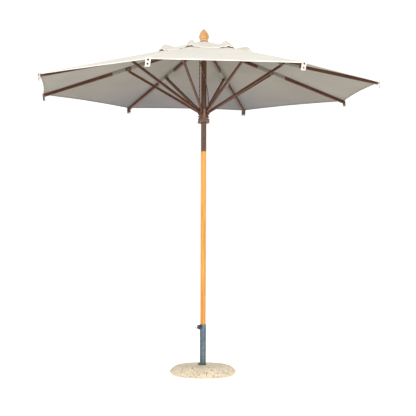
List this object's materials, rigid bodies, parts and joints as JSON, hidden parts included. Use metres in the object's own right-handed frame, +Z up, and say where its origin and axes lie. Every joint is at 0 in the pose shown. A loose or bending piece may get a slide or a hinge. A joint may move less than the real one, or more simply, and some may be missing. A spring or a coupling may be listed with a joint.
{
  "type": "patio umbrella",
  "caption": "Round market umbrella with a vented cloth canopy, hinged wooden ribs and struts, a rope-lifted runner on a wooden pole, and a round concrete base with a steel tube.",
  "frame": {"origin": "on the ground at the centre of the base's underside, under the pole's axis", "axes": "+Z up along the pole; a canopy panel, between two ribs, faces -Y"},
  "size_m": [2.3238, 2.3238, 2.4733],
  "materials": {
    "concrete": "exposed pebbles",
    "tube_steel": "galvanised",
    "knob_plastic": "moulded",
    "screw_steel": "zinc plated",
    "foot_plastic": "moulded",
    "natural_wood": "clear varnish",
    "stained_wood": "satin stain",
    "dowel_brass": "turned",
    "strip_metal": "dull",
    "pin_steel": "bright",
    "bracket_metal": "lacquered",
    "pulley_metal": "turned",
    "rope": "braided",
    "cloth": "woven"
  },
  "bodies": {
    "base": {"base_slab": "concrete", "base_tube": "tube_steel", "tube_lugs": "tube_steel"},
    "knob": {"clamp_knob": "knob_plastic"},
    "screw": {"clamp_screw": "screw_steel"},
    "foot": {"pole_foot": "foot_plastic"},
    "pole": {"pole_lower": "natural_wood", "pole_dowel": "dowel_brass", "pole_upper": "stained_wood", "pin_strip": "strip_metal", "pulley_axle": "pin_steel", "crown": "stained_wood", "crown_pins": "pin_steel", "finial": "natural_wood", "halyard": "rope"},
    "pulley_wheel": {"pulley": "pulley_metal"},
    "runner_hub": {"runner": "stained_wood", "runner_peg": "dowel_brass", "halyard_turns": "rope"},
    "pin": {"lock_pin": "pin_steel"},
    "rib_arm_1": {"rib_1": "stained_wood", "rib_bracket_1": "bracket_metal", "canopy_panel_1": "cloth", "vent_cap_1": "cloth"},
    "strut_arm_1": {"strut_1": "stained_wood"},
    "rib_arm_2": {"rib_2": "stained_wood", "rib_bracket_2": "bracket_metal", "canopy_panel_2": "cloth", "vent_cap_2": "cloth"},
    "strut_arm_2": {"strut_2": "stained_wood"},
    "rib_arm_3": {"rib_3": "stained_wood", "rib_bracket_3": "bracket_metal", "canopy_panel_3": "cloth", "vent_cap_3": "cloth"},
    "strut_arm_3": {"strut_3": "stained_wood"},
    "rib_arm_4": {"rib_4": "stained_wood", "rib_bracket_4": "bracket_metal", "canopy_panel_4": "cloth", "vent_cap_4": "cloth"},
    "strut_arm_4": {"strut_4": "stained_wood"},
    "rib_arm_5": {"rib_5": "stained_wood", "rib_bracket_5": "bracket_metal", "canopy_panel_5": "cloth", "vent_cap_5": "cloth"},
    "strut_arm_5": {"strut_5": "stained_wood"},
    "rib_arm_6": {"rib_6": "stained_wood", "rib_bracket_6": "bracket_metal", "canopy_panel_6": "cloth", "vent_cap_6": "cloth"},
    "strut_arm_6": {"strut_6": "stained_wood"},
    "rib_arm_7": {"rib_7": "stained_wood", "rib_bracket_7": "bracket_metal", "canopy_panel_7": "cloth", "vent_cap_7": "cloth"},
    "strut_arm_7": {"strut_7": "stained_wood"},
    "rib_arm_8": {"rib_8": "stained_wood", "rib_bracket_8": "bracket_metal", "canopy_panel_8": "cloth", "vent_cap_8": "cloth"},
    "strut_arm_8": {"strut_8": "stained_wood"}
  },
  "joints": [
    {"name": "pole_lift", "type": "slide", "parent": "base", "child": "foot", "axis": [0, 0, 1], "range_m": [0, 0.3]},
    {"name": "pole_turn", "type": "hinge", "parent": "foot", "child": "pole", "pos_m": [0, 0, 0.02], "axis": [0, 0, 1], "continuous": true},
    {"name": "runner_slide", "type": "slide", "parent": "pole", "child": "runner_hub", "axis": [0, 0, 1], "range_m": [-0.67496, 0], "deforming": ["halyard", "halyard_turns"]},
    {"name": "pulley_spin", "type": "hinge", "parent": "pole", "child": "pulley_wheel", "pos_m": [0, 0, 2.272], "axis": [0, 1, 0], "continuous": true},
    {"name": "knob_turn", "type": "hinge", "parent": "base", "child": "knob", "pos_m": [-0.02229, -0.02007, 0.342], "axis": [-0.7431, -0.6691, 0], "range_deg": [0, 720]},
    {"name": "screw_turn", "type": "hinge", "parent": "base", "child": "screw", "pos_m": [-0.03, 0, 0.329], "axis": [-1, 0, 0], "range_deg": [0, 720]},
    {"name": "lock_pin_swing", "type": "hinge", "parent": "runner_hub", "child": "pin", "pos_m": [-0.048, 0, 1.836], "axis": [1, 0, 0], "range_deg": [-75, 75]},
    {"name": "rib_1_fold", "type": "hinge", "parent": "pole", "child": "rib_arm_1", "pos_m": [0.01722, -0.04158, 2.34531], "axis": [-0.9239, -0.3827, 0], "range_deg": [-65.82, 0.5], "deforming": ["canopy_panel_1", "vent_cap_1"]},
    {"name": "strut_1_fold", "type": "hinge", "parent": "rib_arm_1", "child": "strut_arm_1", "pos_m": [0.21622, -0.52199, 2.18684], "axis": [-0.9239, -0.3827, 0], "range_deg": [-0.5, 117.61]},
    {"name": "rib_2_fold", "type": "hinge", "parent": "pole", "child": "rib_arm_2", "pos_m": [0.04158, -0.01722, 2.34531], "axis": [-0.3827, -0.9239, 0], "range_deg": [-65.82, 0.5], "deforming": ["canopy_panel_2", "vent_cap_2"]},
    {"name": "strut_2_fold", "type": "hinge", "parent": "rib_arm_2", "child": "strut_arm_2", "pos_m": [0.52199, -0.21622, 2.18684], "axis": [-0.3827, -0.9239, 0], "range_deg": [-0.5, 117.61]},
    {"name": "rib_3_fold", "type": "hinge", "parent": "pole", "child": "rib_arm_3", "pos_m": [0.04158, 0.01722, 2.34531], "axis": [0.3827, -0.9239, 0], "range_deg": [-65.82, 0.5], "deforming": ["canopy_panel_3", "vent_cap_3"]},
    {"name": "strut_3_fold", "type": "hinge", "parent": "rib_arm_3", "child": "strut_arm_3", "pos_m": [0.52199, 0.21622, 2.18684], "axis": [0.3827, -0.9239, 0], "range_deg": [-0.5, 117.61]},
    {"name": "rib_4_fold", "type": "hinge", "parent": "pole", "child": "rib_arm_4", "pos_m": [0.01722, 0.04158, 2.34531], "axis": [0.9239, -0.3827, 0], "range_deg": [-65.82, 0.5], "deforming": ["canopy_panel_4", "vent_cap_4"]},
    {"name": "strut_4_fold", "type": "hinge", "parent": "rib_arm_4", "child": "strut_arm_4", "pos_m": [0.21622, 0.52199, 2.18684], "axis": [0.9239, -0.3827, 0], "range_deg": [-0.5, 117.61]},
    {"name": "rib_5_fold", "type": "hinge", "parent": "pole", "child": "rib_arm_5", "pos_m": [-0.01722, 0.04158, 2.34531], "axis": [0.9239, 0.3827, 0], "range_deg": [-65.82, 0.5], "deforming": ["canopy_panel_5", "vent_cap_5"]},
    {"name": "strut_5_fold", "type": "hinge", "parent": "rib_arm_5", "child": "strut_arm_5", "pos_m": [-0.21622, 0.52199, 2.18684], "axis": [0.9239, 0.3827, 0], "range_deg": [-0.5, 117.61]},
    {"name": "rib_6_fold", "type": "hinge", "parent": "pole", "child": "rib_arm_6", "pos_m": [-0.04158, 0.01722, 2.34531], "axis": [0.3827, 0.9239, 0], "range_deg": [-65.82, 0.5], "deforming": ["canopy_panel_6", "vent_cap_6"]},
    {"name": "strut_6_fold", "type": "hinge", "parent": "rib_arm_6", "child": "strut_arm_6", "pos_m": [-0.52199, 0.21622, 2.18684], "axis": [0.3827, 0.9239, 0], "range_deg": [-0.5, 117.61]},
    {"name": "rib_7_fold", "type": "hinge", "parent": "pole", "child": "rib_arm_7", "pos_m": [-0.04158, -0.01722, 2.34531], "axis": [-0.3827, 0.9239, 0], "range_deg": [-65.82, 0.5], "deforming": ["canopy_panel_7", "vent_cap_7"]},
    {"name": "strut_7_fold", "type": "hinge", "parent": "rib_arm_7", "child": "strut_arm_7", "pos_m": [-0.52199, -0.21622, 2.18684], "axis": [-0.3827, 0.9239, 0], "range_deg": [-0.5, 117.61]},
    {"name": "rib_8_fold", "type": "hinge", "parent": "pole", "child": "rib_arm_8", "pos_m": [-0.01722, -0.04158, 2.34531], "axis": [-0.9239, 0.3827, 0], "range_deg": [-65.82, 0.5], "deforming": ["canopy_panel_8", "vent_cap_8"]},
    {"name": "strut_8_fold", "type": "hinge", "parent": "rib_arm_8", "child": "strut_arm_8", "pos_m": [-0.21622, -0.52199, 2.18684], "axis": [-0.9239, 0.3827, 0], "range_deg": [-0.5, 117.61]}
  ],
  "couplings": [
    {"joint": "pulley_spin", "follows": "runner_slide", "rad_per_m": 32.787},
    {"joint": "rib_1_fold", "follows": "runner_slide", "rad_per_m": 1.689},
    {"joint": "strut_1_fold", "follows": "runner_slide", "rad_per_m": -3.0282},
    {"joint": "rib_2_fold", "follows": "runner_slide", "rad_per_m": 1.689},
    {"joint": "strut_2_fold", "follows": "runner_slide", "rad_per_m": -3.0282},
    {"joint": "rib_3_fold", "follows": "runner_slide", "rad_per_m": 1.689},
    {"joint": "strut_3_fold", "follows": "runner_slide", "rad_per_m": -3.0282},
    {"joint": "rib_4_fold", "follows": "runner_slide", "rad_per_m": 1.689},
    {"joint": "strut_4_fold", "follows": "runner_slide", "rad_per_m": -3.0282},
    {"joint": "rib_5_fold", "follows": "runner_slide", "rad_per_m": 1.689},
    {"joint": "strut_5_fold", "follows": "runner_slide", "rad_per_m": -3.0282},
    {"joint": "rib_6_fold", "follows": "runner_slide", "rad_per_m": 1.689},
    {"joint": "strut_6_fold", "follows": "runner_slide", "rad_per_m": -3.0282},
    {"joint": "rib_7_fold", "follows": "runner_slide", "rad_per_m": 1.689},
    {"joint": "strut_7_fold", "follows": "runner_slide", "rad_per_m": -3.0282},
    {"joint": "rib_8_fold", "follows": "runner_slide", "rad_per_m": 1.689},
    {"joint": "strut_8_fold", "follows": "runner_slide", "rad_per_m": -3.0282}
  ]
}
